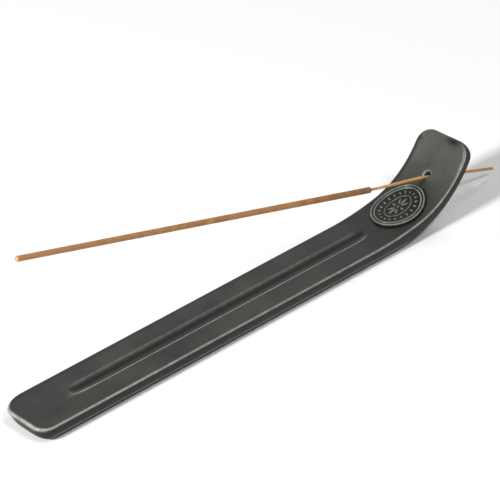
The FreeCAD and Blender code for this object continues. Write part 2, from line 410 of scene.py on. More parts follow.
@dataclass(frozen=True)
class Glaze:
    """Dark satin stoneware glaze that breaks pale over edges and pools in hollows; the pale lines also carry
    painted highlights, and the dark pools painted shade.
    """

    name: str = "ash_grey_glaze"
    dark: Colour = (0.0125, 0.0128, 0.0122)
    cloud: Colour = (0.0350, 0.0362, 0.0300)
    thin: Colour = (0.080, 0.083, 0.070)
    # Dark of pooled glaze and of painted shade; the specks and the dark patch use it too.
    pool_and_shade: Colour = (0.0040, 0.0042, 0.0034)
    # Pale of glaze breaks and of painted highlights.
    pale: Colour = (0.40, 0.405, 0.375)
    clay: Colour = (0.30, 0.25, 0.20)
    clouds: Grain = Grain(55.0, 4.0, 0.55)
    cloud_span: Span = (0.35, 0.68)
    patches: Grain = Grain(38.0)
    patch_span: Span = (0.36, 0.64)
    patch_share: Span = (0.45, 1.0)
    specks: Grain = Grain(2600.0, 2.0, 0.4)
    speck_span: Span = (0.66, 0.74)
    speck_share: Span = (0.0, 0.6)
    wear_and_light: Grain = Grain(420.0, 3.0, 0.6)
    wear_span: Span = (0.3, 0.7)
    wear_share: Span = (0.55, 1.0)
    grit: Grain = Grain(1400.0, 5.0, 0.6)
    grit_span: Span = (0.62, 0.8)
    grit_share: Span = (0.0, 0.7)
    grit_relief: float = 0.012 * MM
    ripples: Grain = Grain(260.0, 2.0)
    ripple_relief: float = 0.03 * MM
    gloss_span: Span = (0.3, 0.7)
    gloss: Span = (0.26, 0.36)
    bare_rough: float = 0.5
    edge_polish: float = 0.1
    dark_patch_rough: float = 0.5
    shine: float = 0.23

    def material(self) -> bpy.types.Material:
        """Glaze with clouds, specks, pale edges and painted highlights, pooled hollows and painted shade, a
        dark patch and the bare clay of the foot.

        Returns:
            The material.
        """
        recipe = Recipe(self.name)
        cloud, grit = recipe.grain(self.clouds), recipe.grain(self.grit)
        bare, smudge = recipe.mark(Mark.BARE), recipe.mark(Mark.DARK_PATCH)
        patch = recipe.span(recipe.grain(self.patches), self.patch_span, self.patch_share)
        worn = recipe.span(recipe.grain(self.wear_and_light), self.wear_span, self.wear_share)
        edge_and_highlight = recipe.maths("MULTIPLY", recipe.mark(Mark.EDGE_AND_HIGHLIGHT), worn)
        clay = recipe.blend(self.clay, self.dark, recipe.span(grit, self.grit_span, self.grit_share))
        # The edge mark paints pale glaze breaks together with highlights, and the pool mark pooled glaze
        # together with shade.
        layers = (
            (self.cloud, recipe.span(cloud, self.cloud_span)),
            (self.thin, recipe.maths("MULTIPLY", recipe.mark(Mark.THIN), patch)),
            (self.pool_and_shade, recipe.span(recipe.grain(self.specks), self.speck_span, self.speck_share)),
            (self.pool_and_shade, recipe.mark(Mark.POOL_AND_SHADE)),
            (self.pale, edge_and_highlight),
            (self.pool_and_shade, smudge),
            (clay, bare),
        )
        colour: Any = self.dark
        for tone, part in layers:
            colour = recipe.blend(colour, tone, part)
        rough = recipe.span(cloud, self.gloss_span, self.gloss)
        rough = recipe.maths("ADD", rough, recipe.maths("MULTIPLY", bare, self.bare_rough))
        rough = recipe.maths("SUBTRACT", rough, recipe.maths("MULTIPLY", edge_and_highlight, self.edge_polish))
        rough = recipe.maths("ADD", rough, recipe.maths("MULTIPLY", smudge, self.dark_patch_rough))
        normal = recipe.relief(grit, self.grit_relief)
        normal = recipe.relief(recipe.grain(self.ripples), self.ripple_relief, normal)
        return recipe.finish(Base_Color=colour, Roughness=rough, Normal=normal,
                             Specular_IOR_Level=self.shine)


@dataclass(frozen=True)
class Paste:
    """Dry incense paste, a rolled brown coat of ground wood and spices.

    The spans of the tip and the base count along the stick in its mark unit.
    """

    name: str = "brown_incense_paste"
    brown: Colour = (0.40, 0.190, 0.073)
    pale: Colour = (0.49, 0.265, 0.116)
    dark: Colour = (0.17, 0.07, 0.028)
    tones: Grain = Grain(240.0, 3.0, 0.6)
    tone_span: Span = (0.38, 0.66)
    tip_span: Span = (4.8, 7.0)
    tip_share: Span = (0.0, 0.8)
    base_span: Span = (2.05, 3.4)
    base_share: Span = (0.55, 0.0)
    streaks: Grain = Grain(9.0, 3.0, 0.6)
    streak_span: Span = (0.55, 0.78)
    streak_share: Span = (0.0, 0.35)
    grit: Grain = Grain(3200.0, 4.0, 0.65)
    grit_span: Span = (0.57, 0.75)
    grit_share: Span = (0.0, 0.6)
    grit_relief: float = 0.10 * MM
    roughness: float = 0.92
    shine: float = 0.2

    def material(self) -> bpy.types.Material:
        """Paste with ground specks, faint streaks, a pale tip and a dry grain.

        Returns:
            The material.
        """
        recipe = Recipe(self.name)
        along = recipe.mark(Mark.ALONG)
        grit = recipe.grain(self.grit)
        streak = recipe.grain(self.streaks, recipe.rod_place())
        layers = (
            (self.pale, recipe.span(recipe.grain(self.tones), self.tone_span)),
            (self.pale, recipe.span(along, self.tip_span, self.tip_share)),
            (self.dark, recipe.span(along, self.base_span, self.base_share)),
            (self.dark, recipe.span(streak, self.streak_span, self.streak_share)),
            (self.dark, recipe.span(grit, self.grit_span, self.grit_share)),
        )
        colour: Any = self.brown
        for tone, part in layers:
            colour = recipe.blend(colour, tone, part)
        return recipe.finish(Base_Color=colour, Roughness=self.roughness,
                             Normal=recipe.relief(grit, self.grit_relief), Specular_IOR_Level=self.shine)


@dataclass(frozen=True)
class Bamboo:
    """Split bamboo with fibres along its length.

    The span of the tail counts along the stick in its mark unit.
    """

    name: str = "split_bamboo"
    straw: Colour = (0.66, 0.360, 0.100)
    amber: Colour = (0.46, 0.205, 0.045)
    pale: Colour = (0.80, 0.53, 0.21)
    fibres: Grain = Grain(14.0, 4.0, 0.6)
    fibre_span: Span = (0.45, 0.72)
    fibre_relief: float = 0.05 * MM
    patches: Grain = Grain(160.0, 2.0)
    patch_span: Span = (0.48, 0.7)
    patch_share: Span = (0.0, 0.7)
    tail_span: Span = (0.7, 1.0)
    tail_share: Span = (0.75, 0.0)
    roughness: float = 0.55

    def material(self) -> bpy.types.Material:
        """Bamboo with long fibres in three tones.

        Returns:
            The material.
        """
        recipe = Recipe(self.name)
        fibre = recipe.grain(self.fibres, recipe.rod_place())
        patch = recipe.span(recipe.grain(self.patches), self.patch_span, self.patch_share)
        tail = recipe.span(recipe.mark(Mark.ALONG), self.tail_span, self.tail_share)
        colour = recipe.blend(self.straw, self.amber, recipe.span(fibre, self.fibre_span))
        colour = recipe.blend(colour, self.pale, patch)
        colour = recipe.blend(colour, self.amber, tail)
        return recipe.finish(Base_Color=colour, Roughness=self.roughness,
                             Normal=recipe.relief(fibre, self.fibre_relief))


def dress_piece(piece: bpy.types.Object, finish: Glaze | Paste | Bamboo, body: Body, node: str) -> None:
    """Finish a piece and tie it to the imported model.

    Args:
        piece: The piece.
        finish: Its finish.
        body: Body that it rides on.
        node: Node that it stands for.
    """
    piece.data.materials.append(finish.material())
    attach(piece, body.value)
    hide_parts(node)


@dataclass(frozen=True)
class Oval:
    """Oval outline that lies with its length along the tray."""

    length: float
    width: float

    def distance(self, x: np.ndarray, y: np.ndarray) -> np.ndarray:
        """Distance from the outline, negative inside it.

        Args:
            x: Distances along the tray from the oval's middle.
            y: Distances across it.

        Returns:
            Distances, right near the outline and 0 at the middle.
        """
        a, b = self.length / 2, self.width / 2
        reach = np.sqrt((x / a) ** 2 + (y / b) ** 2)
        steep = np.sqrt((x / a ** 2) ** 2 + (y / b ** 2) ** 2)
        return (reach - 1.0) * reach / np.maximum(steep, TINY)

    def inside(self, gap: float) -> "Oval":
        """Oval that runs at this distance inside the outline."""
        return Oval(self.length - 2 * gap, self.width - 2 * gap)


@dataclass(frozen=True)
class Half:
    """What tells one long half of the hand-finished tray from the other, in shape, glaze and painted light.

    The way is 1 on the far side and -1 on the near side. A front corner reaches along the tray and across
    it. The lip's reach is how far its end stands past the drawn length at this side. Pale breaks with
    painted highlights, and pools with painted shade, go from 0 to 1.
    """

    way: float
    front_corner: Span
    lip_corner: float
    lip_reach: float
    toe_round: float
    ring_break_and_highlight: float
    groove_break_and_highlight: float
    groove_soft: float
    groove_gleam: float
    groove_pool_and_shade: float
    seat_pool_and_shade: float
    rim_shade: float
    thin_span: Span


@dataclass(frozen=True)
class WearAndPaintedLight:
    """Where the tray's glaze breaks pale, with painted highlights on those lines, and where it pools dark or
    carries painted shade.

    The rim's line and width are angles on its rounding, on the flat and in the curl. Pairs named loss are
    what is lost at the lip and at the front end. The span of the hole's mouth is in shares of its reach, and
    the groove's end in shares of its run-out. Other pairs in millimetres are spans, places or sizes.
    """

    # The rim line, the hole's ring and mouth, the arris line and the groove lips are pale glaze breaks that
    # also stand in for painted highlights.
    rim_line: Span = (44.0 * DEG, 34.0 * DEG)
    rim_width: Span = (21.0 * DEG, 16.0 * DEG)
    front_line: float = -8.0 * DEG
    front_width: float = 17.0 * DEG
    front_break_and_highlight: float = 1.0
    flat_break_and_highlight: float = 0.75
    curl_break_and_highlight: float = 1.0
    flat_span: Span = (40.0 * MM, 110.0 * MM)
    curl_span: Span = (186.0 * MM, 226.0 * MM)
    rim_loss: Span = (0.92, 0.08)
    # Painted shade on the wall under the rim, darkest right under it, and on the arris, bevel and heel
    # below.
    wall_shade: float = 0.85
    wall_shade_loss: Span = (0.6, 0.8)
    wall_turn: float = 30.0 * DEG
    wall_shade_rows: tuple[float, ...] = (0.9, 0.6, 0.3)
    arris_shade: float = 0.3
    bevel_shade: float = 0.6
    heel_shade: float = 0.9
    arris_break_and_highlight: float = 0.42
    arris_rows: tuple[float, ...] = (0.2, 1.0, 0.9, 0.2, 0.0)
    arris_span: Span = (0.6 * MM, 2.2 * MM)
    ring_break_and_highlight: float = 0.6
    ring_stretch: float = 0.15 * MM
    ring_width: float = 0.27 * MM
    ring_span: Span = (-1.6 * MM, 0.4 * MM)
    mouth_break_and_highlight: Span = (0.35, 1.2)
    mouth_span: Span = (-0.9, 0.4)
    mouth_start: float = 0.15
    bore_shade: float = 0.8
    # A painted highlight near the front end of the groove's near lip.
    gleam_place: Span = (6.0 * MM, 2.2 * MM)
    gleam_size: Span = (5.5 * MM, 0.8 * MM)
    groove_span: Span = (0.1 * MM, 0.7 * MM)
    groove_end: Span = (0.55, 0.95)
    groove_end_loss: float = 0.95
    seat_span: Span = (0.2 * MM, 1.8 * MM)
    rim_span: Span = (0.6 * MM, 3.4 * MM)
    # Darker over the rear of the flat and the start of the bend.
    rear_darkening: float = 0.30
    rear_start: Span = (100.0 * MM, 170.0 * MM)
    rear_end: Span = (215.0 * MM, 236.0 * MM)
    # Painted shadow of the stick below the hole, together with pooled glaze there.
    stick_shadow_and_pool: float = 0.6
    stick_shadow_drop: float = 4.2 * MM
    stick_shadow_size: Span = (1.3 * MM, 1.9 * MM)
    bare_height: Span = (0.05 * MM, 0.3 * MM)
    bare_inset: Span = (2.6 * MM, 3.6 * MM)
    # Place and size of a dark, rougher patch near the lip's near corner.
    dark_patch_place: Span = (0.7 * MM, -5.4 * MM)
    dark_patch_size: tuple[float, float, float] = (2.0 * MM, 4.2 * MM, 2.0 * MM)

    def wall_left(self, at_lip: np.ndarray, at_front: np.ndarray) -> np.ndarray:
        """Painted shade on the wall below the rim, less at both ends."""
        return self.wall_shade * (1.0 - self.wall_shade_loss[0] * at_lip) * (1.0 - self.wall_shade_loss[1] * at_front)


@dataclass
class Outline:
    """Half outline of the top, unrolled flat, as columns with a row for each section line.

    Along and side are the place of each point, ahead and out its outward direction, middle the place on
    the middle line that its section runs to, and gap the edge of the hole there.
    """

    along: np.ndarray
    side: np.ndarray
    ahead: np.ndarray
    out: np.ndarray
    middle: np.ndarray
    gap: np.ndarray

    @property
    def at_lip(self) -> np.ndarray:
        """How far each section faces the lip's way, 0 to 1."""
        return np.clip(self.ahead, 0.0, 1.0) ** 2

    @property
    def at_front(self) -> np.ndarray:
        """How far each section faces the front end's way, 0 to 1."""
        return np.clip(-self.ahead, 0.0, 1.0) ** 2

    @property
    def on_side(self) -> np.ndarray:
        """How far each section belongs to the long side, 0 to 1."""
        return self.out ** 4


@dataclass
class Patch:
    """Grid of points with the marks that they carry."""

    points: np.ndarray
    marks: dict[Mark, Any]
    flip: bool = False

    @staticmethod
    def joined(patches: Sequence["Patch"], way: float, flip: bool) -> "Patch":
        """One grid from grids that lie side by side.

        Args:
            patches: Grids with the same rows; a mark that one doesn't give is 0 there.
            way: 1 to keep the grid, -1 to mirror it to the near side.
            flip: True to turn the faces over.

        Returns:
            The joined grid.
        """
        points = np.concatenate([patch.points for patch in patches], axis=1) * np.array([1.0, way, 1.0])
        marks = {mark: np.concatenate([np.broadcast_to(patch.marks.get(mark, 0.0), patch.points.shape[:2])
                                       for patch in patches], axis=1) for mark in GLAZE_MARKS}
        return Patch(points, marks, flip)


@dataclass
class Tray:
    """The stoneware tray: rounded outline, ash groove, curled end and slanting stick hole.

    The places of hole and seat are slopes of the top there. The lip's reach is that of its middle. Depth and
    bend of the hole's mouths are in shares of the hole's lip. A wave of the unevenness has its share, length
    and seed. Top columns are shares of the half width, each with its count.
    """

    flat_length: float = 184.0 * MM
    heel_delay: float = 6.0 * MM
    front_width: float = 26.8 * MM
    lip_width: float = 27.7 * MM
    ease_radius: float = 131.0 * MM
    ease_angle: float = 11.7 * DEG
    curl_radius: float = 39.2 * MM
    lip_angle: float = 69.4 * DEG
    body_height: float = 7.0 * MM
    lip_thickness: float = 5.0 * MM
    heel_angle: float = 20.0 * DEG
    toe_length: float = 12.0 * MM
    toe_lift: float = 2.9 * MM
    toe_round_reach: float = 10.0 * MM
    rim_radius: float = 1.2 * MM
    under_radius: float = 0.9 * MM
    lip_round: float = 2.6 * MM
    lip_reach: float = 0.3 * MM
    bevel_height: float = 2.7 * MM
    bevel_inset: float = 1.4 * MM
    arris_round: float = 0.5 * MM
    lip_arris_round: float = 1.1 * MM
    toe_arris_share: float = 0.6
    corner_share: float = 0.48
    heel_run: float = 1.8
    groove_width: float = 6.2 * MM
    groove_depth: float = 1.45 * MM
    groove_setback: float = 25.0 * MM
    groove_past_bend: float = 7.0 * MM
    groove_runout: float = 15.0 * MM
    groove_blunt: float = 5.0
    groove_past_limit: float = 2.0
    groove_soft: float = 0.10 * MM
    groove_soft_span: Span = (0.8 * MM, 2.6 * MM)
    hole_diameter: float = 3.1 * MM
    hole_place: float = 42.3 * DEG
    hole_slope: float = 33.6 * DEG
    hole_lip: float = 0.6 * MM
    mouth_depth: float = 1.3
    mouth_bend: float = 0.62
    seat: Oval = Oval(27.0 * MM, 21.0 * MM)
    seat_place: float = 13.3 * DEG
    unevenness: float = 0.05 * MM
    waves: tuple[tuple[float, float, float], ...] = ((0.7, 17.0 * MM, 3.7), (0.3, 6.0 * MM, 8.1))
    level_span: Span = (0.5 * MM, 2.5 * MM)
    station_gap: float = 0.6 * MM
    corner_rows: int = 18
    end_rows: int = 15
    front_rows: int = 10
    hole_rows: int = 31
    above_rows: int = 7
    lip_rows: int = 12
    top_columns: tuple[tuple[float, int], ...] = ((0.19, 8), (0.40, 17), (0.97, 12), (1.0, 2))
    rim_columns: int = 13
    under_columns: int = 16
    wall_columns: tuple[int, ...] = (4, 6, 3, 6)
    mouth_columns: int = 9
    bore_columns: int = 5
    probe_count: int = 4000
    past_lip: float = 2.0 * MM
    # The halves differ in painted light too: the near half has the stronger painted highlight on its groove
    # lip and the darker medallion base, the far half the brighter hole ring, painted shade on its groove and
    # along its rim.
    far: Half = Half(
        way=1.0, front_corner=(11.5 * MM, 8.2 * MM), lip_corner=7.4 * MM, lip_reach=0.1 * MM,
        toe_round=1.6 * MM, ring_break_and_highlight=1.0, groove_break_and_highlight=0.24, groove_soft=0.17 * MM, groove_gleam=0.0,
        groove_pool_and_shade=1.0, seat_pool_and_shade=0.45, rim_shade=0.9, thin_span=(204.0 * MM, 252.0 * MM))
    near: Half = Half(
        way=-1.0, front_corner=(6.2 * MM, 6.2 * MM), lip_corner=6.4 * MM, lip_reach=0.6 * MM,
        toe_round=0.0, ring_break_and_highlight=0.3, groove_break_and_highlight=1.0, groove_soft=0.14 * MM, groove_gleam=0.70,
        groove_pool_and_shade=0.40, seat_pool_and_shade=0.9, rim_shade=0.0, thin_span=(213.0 * MM, 241.0 * MM))
    wear_and_light: WearAndPaintedLight = WearAndPaintedLight()
    finish: Glaze = Glaze()

    def __post_init__(self) -> None:
        """Work out the side views of the top and the underside."""
        self.front_x = -(self.flat_length + self.heel_delay) / 2
        ease = self.ease_radius * self.ease_angle
        curl = self.curl_radius * (self.lip_angle - self.ease_angle)
        self.top = BentLine((self.front_x, self.body_height), 0.0, (
            (self.flat_length, 0.0), (ease, self.ease_angle), (curl, self.lip_angle - self.ease_angle)))
        self.under = self.underside()
        self.hole_along = self.curl_along(self.hole_place)
        self.hole_reach = self.hole_diameter / 2 + self.hole_lip
        self.hole_mouth = self.top.lifted(np.array([self.hole_along]), np.zeros(1), 0.0)[0]
        self.seat_along = self.curl_along(self.seat_place)

    def curl_along(self, slope: float) -> float:
        """Distance along the top at which the curl has this slope."""
        return (self.flat_length + self.ease_radius * self.ease_angle
                + self.curl_radius * (slope - self.ease_angle))

    def underside(self) -> BentLine:
        """Side view of the underside: lifted toe, foot, and two arcs up to the back of the lip.

        Returns:
            The line from the front end to the lip.
        """
        x, z, slope = self.top.at(np.array([self.top.length]))
        back_x = x[0] + self.lip_thickness * math.sin(slope[0])
        back_z = z[0] - self.lip_thickness * math.cos(slope[0])
        heel_x = self.front_x + self.flat_length + self.heel_delay
        run, rise = back_x - heel_x, back_z
        heel, lip = self.heel_angle, self.lip_angle
        a, b = math.sin(heel), math.sin(lip) - math.sin(heel)
        c, d = 1 - math.cos(heel), math.cos(heel) - math.cos(lip)
        heel_radius = (run * d - b * rise) / (a * d - b * c)
        back_radius = (a * rise - run * c) / (a * d - b * c)
        toe_radius = (self.toe_length ** 2 + self.toe_lift ** 2) / (2 * self.toe_lift)
        toe_turn = math.asin(self.toe_length / toe_radius)
        foot = heel_x - self.front_x - self.toe_length
        return BentLine((self.front_x, self.toe_lift), -toe_turn, (
            (toe_radius * toe_turn, toe_turn), (foot, 0.0),
            (heel_radius * heel, heel), (back_radius * (lip - heel), lip - heel)))

    def half_width(self, along: np.ndarray) -> np.ndarray:
        """Half of the width.

        Args:
            along: Distances along the top.

        Returns:
            Half of the width at each distance.
        """
        x = self.top.at(along)[0]
        end = self.top.at(np.array([self.top.length]))[0][0]
        grown = (self.lip_width - self.front_width) * (x - self.front_x) / (end - self.front_x)
        return (self.front_width + grown) / 2

    def stations(self, half: Half) -> np.ndarray:
        """Distances along the straight side at which sections stand.

        Args:
            half: Half of the tray; between the end circles both halves have the same sections.

        Returns:
            Distances along the top, denser at the hole.
        """
        first, last = self.front_width / 2, self.top.length - self.lip_width / 2
        hole_low, hole_high = self.hole_along - self.hole_reach, self.hole_along + self.hole_reach
        count = int((hole_low - first) / self.station_gap)
        return np.concatenate([
            np.linspace(half.front_corner[0], first, self.front_rows)[1:-1],
            np.linspace(first, hole_low, count)[:-1],
            self.hole_along - self.hole_reach * np.cos(np.linspace(0.0, math.pi, self.hole_rows)),
            np.linspace(hole_high, last, self.above_rows)[1:],
            np.linspace(last, self.top.length - half.lip_corner, self.lip_rows)[1:-1]])

    def outline(self, half: Half) -> Outline:
        """Half outline of the top, from the middle of the front to the middle of the lip.

        Args:
            half: Half of the tray.

        Returns:
            The outline.
        """
        length = self.top.length
        half_front, half_lip = self.front_width / 2, self.lip_width / 2
        front_reach, side_reach = half.front_corner
        turn = np.linspace(0.0, math.pi / 2, self.corner_rows)
        front_side = np.linspace(0.0, half_front - side_reach, self.end_rows)[:-1]
        lip_side = np.linspace(half_lip - half.lip_corner, 0.0, self.end_rows)[1:]
        sides = self.stations(half)
        along = np.concatenate([
            np.zeros_like(front_side), front_reach * (1 - np.cos(turn)), sides,
            length - half.lip_corner * (1 - np.sin(turn)), np.full_like(lip_side, length)])
        side = np.concatenate([
            front_side, half_front - side_reach * (1 - np.sin(turn)), self.half_width(sides),
            half_lip - half.lip_corner * (1 - np.cos(turn)), lip_side])
        reach = self.lip_reach + (half.lip_reach - self.lip_reach) * side / half_lip
        along = along + reach * soft_step(along, length - half_lip, length)
        facing = np.concatenate([
            np.zeros_like(front_side),
            np.arctan2(front_reach * np.sin(turn), side_reach * np.cos(turn)),
            np.full_like(sides, math.pi / 2), math.pi / 2 + turn, np.full_like(lip_side, math.pi)])
        gap = np.sqrt(np.clip(self.hole_reach ** 2 - (along - self.hole_along) ** 2, 0.0, None))
        middle = np.clip(along, half_front, length - half_lip)
        columns = (along, side, -np.cos(facing), np.sin(facing), middle, gap)
        return Outline(*(values[:, None] for values in columns))

    def groove(self, along: np.ndarray, side: np.ndarray, soft: float) -> tuple[np.ndarray, np.ndarray]:
        """Ash groove with blunt ends and softened lips.

        Args:
            along: Distances along the top.
            side: Distances from the middle line.
            soft: Rounding of the lip, which starts some way from the middle line.

        Returns:
            Depth below the top, and how near each place is to the groove's lip, 0 to 1.
        """
        radius = self.groove_width ** 2 / (8 * self.groove_depth) + self.groove_depth / 2
        front = self.groove_setback + self.groove_runout
        back = self.flat_length + self.groove_past_bend - self.groove_runout
        past = np.maximum(np.maximum(front - along, along - back), 0.0) / self.groove_runout
        ended = np.minimum(past, self.groove_past_limit) ** self.groove_blunt
        deepest = self.groove_depth * (1.0 - ended)
        rise = self.top.at(along)[1] - self.body_height
        bowl = radius - np.sqrt(np.clip(radius ** 2 - side ** 2, 0.0, None))
        beyond = np.clip(side - radius, 0.0, None)
        raw = deepest - bowl - beyond + np.where(past < 1.0, rise, 0.0)
        rounding = self.groove_soft + (soft - self.groove_soft) * soft_step(side, *self.groove_soft_span)
        scaled = np.clip(raw / rounding, -EXPONENT_LIMIT, EXPONENT_LIMIT)
        depth = rounding * np.logaddexp(0.0, scaled)
        share = 1.0 / (1.0 + np.exp(-scaled / 2.0))
        kept = 1.0 - self.wear_and_light.groove_end_loss * soft_step(past, *self.wear_and_light.groove_end)
        return depth, 4.0 * share * (1.0 - share) * kept

    def under_place(self, along: np.ndarray) -> np.ndarray:
        """Distance along the underside that lies under a distance along the top.

        Args:
            along: Distances along the top.

        Returns:
            Distances along the underside.
        """
        probe = np.linspace(0.0, self.under.length, self.probe_count)
        x, z, _ = self.under.at(probe)
        bend = np.interp(self.front_x + self.flat_length, x, probe)
        way = np.array([math.cos(self.hole_slope), -math.sin(self.hole_slope)])
        off = (x - self.hole_mouth[0]) * way[1] - (z - self.hole_mouth[2]) * way[0]
        behind = probe > bend
        exit_at = probe[behind][np.argmin(np.abs(off[behind]))]
        keys = [self.flat_length, self.hole_along - self.hole_reach, self.hole_along + self.hole_reach,
                self.top.length, self.top.length + self.past_lip]
        values = [bend, exit_at - self.hole_reach, exit_at + self.hole_reach, self.under.length,
                  self.under.length + self.past_lip]
        level = np.interp(self.front_x + along, x, probe)
        return np.where(along < self.flat_length, level, np.interp(along, keys, values))

    def top_face(self, half: Half, line: Outline) -> Patch:
        """Top of the half tray, inside its rounded rim.

        Args:
            half: Half of the tray.
            line: Its outline.

        Returns:
            The grid, from the middle line outwards.
        """
        start, parts = 0.0, []
        for end, count in self.top_columns:
            parts.append(np.linspace(start, end, count)[:-1])
            start = end
        fractions = np.append(np.concatenate(parts), start)[None, :]
        along = line.middle + (line.along - self.rim_radius * line.ahead - line.middle) * fractions
        side = line.gap + (line.side - self.rim_radius * line.out - line.gap) * fractions
        depth, lip = self.groove(along, side, half.groove_soft)
        wear_and_light = self.wear_and_light
        up = along - self.hole_along
        ring = self.hole_reach + wear_and_light.ring_stretch * np.clip(up / self.hole_reach, 0.0, 1.0)
        off_ring = (np.hypot(up, side) - ring) / wear_and_light.ring_width
        ring_edge = half.ring_break_and_highlight * np.exp(-off_ring ** 2) * soft_step(up, *wear_and_light.ring_span)
        # Painted highlight near the front end of the groove's near lip.
        off_gleam = np.hypot((along - self.groove_setback - wear_and_light.gleam_place[0]) / wear_and_light.gleam_size[0],
                             (side - wear_and_light.gleam_place[1]) / wear_and_light.gleam_size[1])
        # Pale groove lip and hole ring, which also stand in for painted highlights.
        edge_and_highlight = (half.groove_break_and_highlight * lip + wear_and_light.ring_break_and_highlight * ring_edge
                + half.groove_gleam * np.exp(-off_gleam ** 2))
        from_seat = self.seat.distance(along - self.seat_along, side)
        from_rim = np.where(line.on_side > 0.5, line.side - side, np.inf)
        rear = soft_step(along, *wear_and_light.rear_start) * (1.0 - soft_step(along, *wear_and_light.rear_end))
        off_stick_shadow = np.hypot((up + wear_and_light.stick_shadow_drop) / wear_and_light.stick_shadow_size[0], side / wear_and_light.stick_shadow_size[1])
        # Pooled glaze in the groove and round the medallion, together with painted shade on the groove's far
        # half, round the medallion's base and along the far rim; painted shadow of the stick below the hole;
        # darker over the rear of the flat.
        pool_and_shade = np.maximum.reduce([
            half.groove_pool_and_shade * soft_step(depth, *wear_and_light.groove_span),
            half.seat_pool_and_shade * (1.0 - soft_step(from_seat, *wear_and_light.seat_span)),
            half.rim_shade * (1.0 - soft_step(from_rim, *wear_and_light.rim_span)),
            wear_and_light.rear_darkening * rear, wear_and_light.stick_shadow_and_pool * np.exp(-off_stick_shadow ** 2)])
        return Patch(self.top.lifted(along, side, -depth), {
            Mark.EDGE_AND_HIGHLIGHT: np.clip(edge_and_highlight, 0.0, 1.0), Mark.POOL_AND_SHADE: pool_and_shade,
            Mark.THIN: soft_step(along, *half.thin_span)})

    def rim(self, half: Half, line: Outline) -> Patch:
        """Rounded top edge, where the glaze breaks to a pale line that also stands in for a painted
        highlight.

        Args:
            half: Half of the tray.
            line: Its outline.

        Returns:
            The grid, from the top down to the wall.
        """
        angle = np.linspace(math.pi / 2, 0.0, self.rim_columns)[None, 1:]
        inset = self.rim_radius * (1 - np.cos(angle))
        along, side = line.along - inset * line.ahead, line.side - inset * line.out
        points = self.top.lifted(along, side, -self.rim_radius * (1 - np.sin(angle)))
        wear_and_light, at_lip, at_front = self.wear_and_light, line.at_lip, line.at_front
        in_curl = soft_step(along, *wear_and_light.curl_span)
        place = wear_and_light.rim_line[0] + (wear_and_light.rim_line[1] - wear_and_light.rim_line[0]) * in_curl
        place = place + wear_and_light.front_line * at_front
        width = wear_and_light.rim_width[0] + (wear_and_light.rim_width[1] - wear_and_light.rim_width[0]) * in_curl
        width = width + wear_and_light.front_width * at_front
        strength = wear_and_light.front_break_and_highlight + (wear_and_light.flat_break_and_highlight - wear_and_light.front_break_and_highlight) * soft_step(along, *wear_and_light.flat_span)
        strength = strength + (wear_and_light.curl_break_and_highlight - wear_and_light.flat_break_and_highlight) * in_curl
        strength = strength * (1.0 - wear_and_light.rim_loss[0] * at_lip - wear_and_light.rim_loss[1] * at_front)
        # Painted shade on the wall side of the rim below its pale line, and along the far rim.
        below = wear_and_light.wall_left(at_lip, at_front) * soft_step(place - angle, 0.0, wear_and_light.wall_turn)
        behind = half.rim_shade * (1.0 - at_lip) * (1.0 - at_front)
        return Patch(points, {
            Mark.EDGE_AND_HIGHLIGHT: strength * np.exp(-((angle - place) / width) ** 2),
            Mark.POOL_AND_SHADE: np.maximum(below, behind), Mark.THIN: soft_step(along, *half.thin_span)})

    def lower_part(self, half: Half, line: Outline, wall_top: np.ndarray) -> list[Patch]:
        """Wall, tucked-under bevel and underside of the half tray.

        Args:
            half: Half of the tray.
            line: Its outline.
            wall_top: Lowest point of the rim in each section.

        Returns:
            The grids, from the rim down and on to the middle line.
        """
        wear_and_light, ahead, out = self.wear_and_light, line.ahead, line.out
        under_along = self.under_place(line.along)
        bevel_left = np.clip(self.bevel_height - self.under.at(under_along)[1], 0.0, None)
        toe_round = half.toe_round * np.sqrt(line.at_front) * soft_step(line.side, 0.0, self.toe_round_reach)
        end_round = self.under_radius + (self.lip_round - self.under_radius) * line.at_lip + toe_round
        tucked = self.bevel_inset / self.bevel_height * bevel_left
        height, tuck = (end_round + (np.maximum(size, self.under_radius) - end_round) * line.on_side
                        for size in (bevel_left, tucked))
        turn = self.arris_round + self.lip_arris_round * line.at_lip + self.toe_arris_share * toe_round
        inner_along = under_along - self.heel_run * tuck * ahead
        inner_side = line.side - self.heel_run * tuck * out
        arris = self.under.lifted(under_along, line.side, height)[:, 0]
        foot = self.under.lifted(under_along - tuck * ahead, line.side - tuck * out, 0.0)[:, 0]
        inner = self.under.lifted(inner_along, inner_side, 0.0)[:, 0]

        def turn_start(a: np.ndarray, b: np.ndarray) -> np.ndarray:
            """Point on the way from a to b where a rounded corner at a starts."""
            run = np.maximum(np.linalg.norm(b - a, axis=1, keepdims=True), TINY)
            return a + (b - a) * np.minimum(turn / run, self.corner_share)

        # Pale arris line, partly a painted highlight.
        kept = wear_and_light.arris_break_and_highlight * line.on_side * soft_step(bevel_left, *wear_and_light.arris_span)
        wall_end, bevel_start = turn_start(arris, wall_top), turn_start(arris, foot)
        bevel_end = turn_start(foot, arris)
        wall_count, arris_count, bevel_count, heel_count = self.wall_columns
        rows = (
            (bezier([wall_top, wall_end], wall_count), np.array(wear_and_light.wall_shade_rows), 0.0),
            (bezier([wall_end, arris, bevel_start], arris_count), wear_and_light.arris_shade,
             kept * np.array(wear_and_light.arris_rows)),
            (bezier([bevel_start, bevel_end], bevel_count), wear_and_light.bevel_shade, 0.0),
            (bezier([bevel_end, foot, inner], heel_count), wear_and_light.heel_shade, 0.0),
        )
